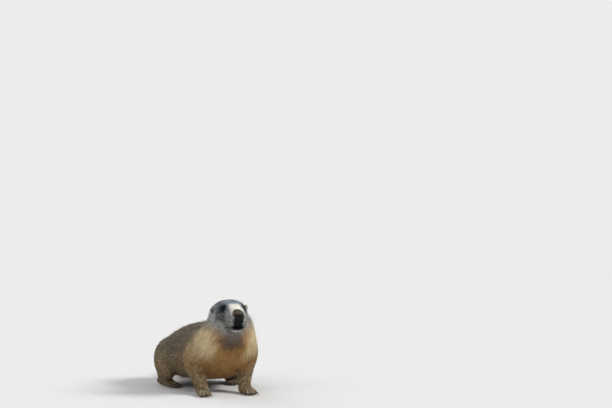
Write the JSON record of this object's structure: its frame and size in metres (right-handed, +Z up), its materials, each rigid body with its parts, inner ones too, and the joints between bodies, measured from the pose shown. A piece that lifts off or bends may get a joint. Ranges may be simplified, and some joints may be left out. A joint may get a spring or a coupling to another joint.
{
  "type": "life-size alpine marmot model",
  "caption": "Life-size still model of an alpine marmot crouched on all fours with its head raised, with parted head, neck, torso, legs, paws and tail.",
  "frame": {"origin": "on the floor under the middle of the model's bounding box", "axes": "+Z up, the animal faces -Y and its left side is +X, +Y runs along the body to the tail"},
  "size_m": [0.2332, 0.6057, 0.2328],
  "materials": {
    "coat": "grizzled grey-brown fur",
    "head_coat": "short grey fur with a pale muzzle bridge",
    "tail_coat": "bushy red-brown fur with a black tip",
    "paw": "short tawny fur with dark pads",
    "nose_leather": "damp dark skin",
    "eye": "polished dark brown",
    "claw_horn": "dark horn"
  },
  "bodies": {
    "root": {"torso": "coat", "neck": "coat", "head": "head_coat", "tail": "tail_coat", "nose": "nose_leather", "upperarm_left": "coat", "foreleg_left": "coat", "hindleg_left": "coat", "forepaw_left": "paw", "hindpaw_left": "paw", "ear_left": "head_coat", "eye_left": "eye", "upperarm_right": "coat", "foreleg_right": "coat", "hindleg_right": "coat", "forepaw_right": "paw", "hindpaw_right": "paw", "ear_right": "head_coat", "eye_right": "eye", "claw_fore_left_1": "claw_horn", "claw_fore_left_2": "claw_horn", "claw_fore_left_3": "claw_horn", "claw_fore_left_4": "claw_horn", "claw_fore_right_1": "claw_horn", "claw_fore_right_2": "claw_horn", "claw_fore_right_3": "claw_horn", "claw_fore_right_4": "claw_horn", "claw_hind_left_1": "claw_horn", "claw_hind_left_2": "claw_horn", "claw_hind_left_3": "claw_horn", "claw_hind_left_4": "claw_horn", "claw_hind_left_5": "claw_horn", "claw_hind_right_1": "claw_horn", "claw_hind_right_2": "claw_horn", "claw_hind_right_3": "claw_horn", "claw_hind_right_4": "claw_horn", "claw_hind_right_5": "claw_horn"}
  },
  "joints": []
}
